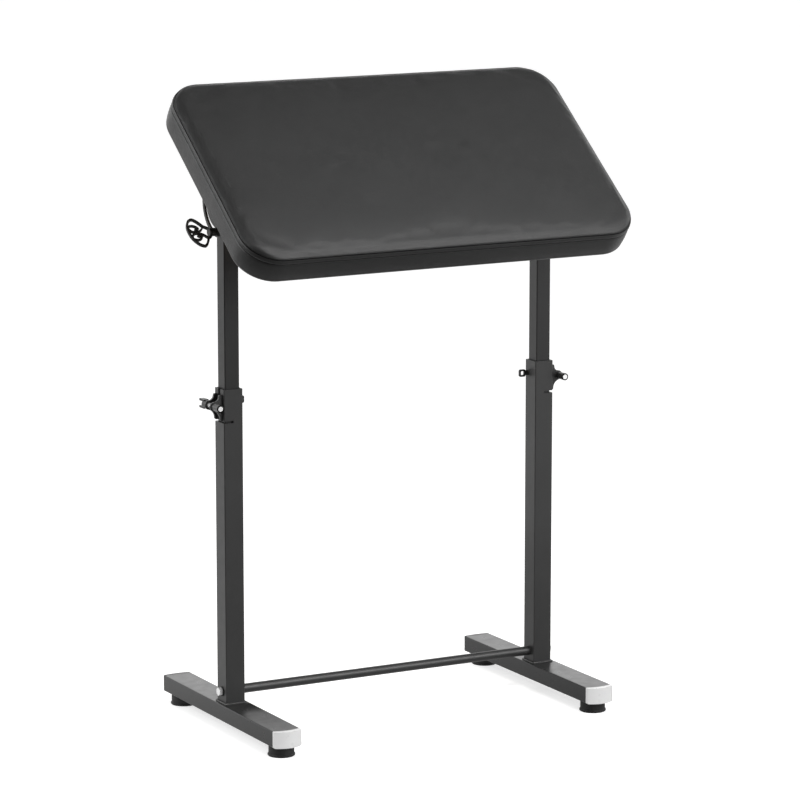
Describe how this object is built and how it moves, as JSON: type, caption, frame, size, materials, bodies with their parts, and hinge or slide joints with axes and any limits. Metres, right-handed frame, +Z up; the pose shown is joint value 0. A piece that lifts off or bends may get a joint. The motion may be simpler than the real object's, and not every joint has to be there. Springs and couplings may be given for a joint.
{
  "type": "tattoo arm rest stand",
  "caption": "Free-standing arm rest with a wide padded board that tilts on two telescoping posts with clamp locks and floor feet.",
  "frame": {"origin": "on the floor, at the middle of the overall box with the board at its pictured tilt", "axes": "+Z up, +X to the right along the posts' line, +Y to the rear, so the board's low edge faces -Y"},
  "size_m": [0.7452, 0.4486, 1.0895],
  "materials": {
    "frame_paint": "satin black powder coat",
    "ear_paint": "satin black paint",
    "cap_silver": "satin silver",
    "foot_rubber": "matte black",
    "zinc_steel": "bright zinc plate",
    "black_steel": "black oxide",
    "black_plastic": "matte black",
    "handle_black": "satin black casting",
    "plywood": "raw plywood",
    "foam": "open-cell foam",
    "cover_black": "fine-grained black leatherette"
  },
  "bodies": {
    "base": {"foot_tube_left": "frame_paint", "foot_tube_right": "frame_paint", "foot_cap_front_left": "cap_silver", "foot_cap_front_right": "cap_silver", "foot_cap_rear_left": "black_plastic", "foot_cap_rear_right": "black_plastic", "rubber_foot_front_left": "foot_rubber", "rubber_foot_rear_left": "foot_rubber", "rubber_foot_front_right": "foot_rubber", "rubber_foot_rear_right": "foot_rubber", "rubber_foot_screws": "zinc_steel", "rivet_nuts": "zinc_steel", "outer_post_left": "frame_paint", "outer_post_right": "frame_paint", "clamp_ears_left": "ear_paint", "clamp_ears_right": "ear_paint", "guide_bush_left": "black_plastic", "guide_bush_right": "black_plastic", "cross_bar": "frame_paint", "cross_bar_inserts": "zinc_steel", "cross_bar_bolts": "zinc_steel", "cross_bar_washers": "black_steel", "clamp_bolt_left": "zinc_steel", "clamp_bolt_right": "zinc_steel", "clamp_sleeve_left": "black_steel", "clamp_sleeve_right": "black_steel", "loop_screw_nuts": "black_steel"},
    "mast": {"inner_post_left": "frame_paint", "inner_post_right": "frame_paint", "post_plug_left": "black_plastic", "post_plug_right": "black_plastic", "post_shoe_left": "black_plastic", "post_shoe_right": "black_plastic", "pivot_bolts": "black_steel", "pivot_nuts": "black_steel", "tilt_lock_bolt_left": "black_steel", "tilt_lock_bolt_right": "black_steel", "tilt_lock_washers": "black_steel"},
    "board": {"tilt_bracket_left": "ear_paint", "tilt_bracket_right": "ear_paint", "bracket_screws": "zinc_steel", "base_board": "plywood", "pad_foam": "foam", "pad_cover": "cover_black"},
    "tilt_handle_left_body": {"tilt_handle_left": "handle_black"},
    "fork_nut_left_body": {"fork_nut_left": "black_steel"},
    "loop_screw_left_body": {"loop_screw_left": "black_steel"},
    "tilt_handle_right_body": {"tilt_handle_right": "handle_black"},
    "fork_nut_right_body": {"fork_nut_right": "black_steel"},
    "loop_screw_right_body": {"loop_screw_right": "black_steel"}
  },
  "joints": [
    {"name": "mast_slide", "type": "slide", "parent": "base", "child": "mast", "axis": [0, 0, 1], "range_m": [-0.23, 0.15]},
    {"name": "board_tilt", "type": "hinge", "parent": "mast", "child": "board", "pos_m": [0, 0.00326, 0.899], "axis": [1, 0, 0], "range_deg": [-93, 17]},
    {"name": "tilt_handle_turn_left", "type": "hinge", "parent": "mast", "child": "tilt_handle_left_body", "pos_m": [-0.33, 0.00326, 0.851], "axis": [-1, 0, 0], "range_deg": [0, 360]},
    {"name": "fork_nut_turn_left", "type": "hinge", "parent": "base", "child": "fork_nut_left_body", "pos_m": [-0.333, 0.02746, 0.559], "axis": [0, 1, 0], "range_deg": [0, 360]},
    {"name": "loop_screw_turn_left", "type": "hinge", "parent": "base", "child": "loop_screw_left_body", "pos_m": [-0.2835, 0.01526, 0.5635], "axis": [1, 0, 0], "range_deg": [0, 360]},
    {"name": "tilt_handle_turn_right", "type": "hinge", "parent": "mast", "child": "tilt_handle_right_body", "pos_m": [0.33, 0.00326, 0.851], "axis": [1, 0, 0], "range_deg": [0, 360]},
    {"name": "fork_nut_turn_right", "type": "hinge", "parent": "base", "child": "fork_nut_right_body", "pos_m": [0.333, 0.02746, 0.559], "axis": [0, 1, 0], "range_deg": [0, 360]},
    {"name": "loop_screw_turn_right", "type": "hinge", "parent": "base", "child": "loop_screw_right_body", "pos_m": [0.2835, 0.01526, 0.5635], "axis": [-1, 0, 0], "range_deg": [0, 360]}
  ]
}
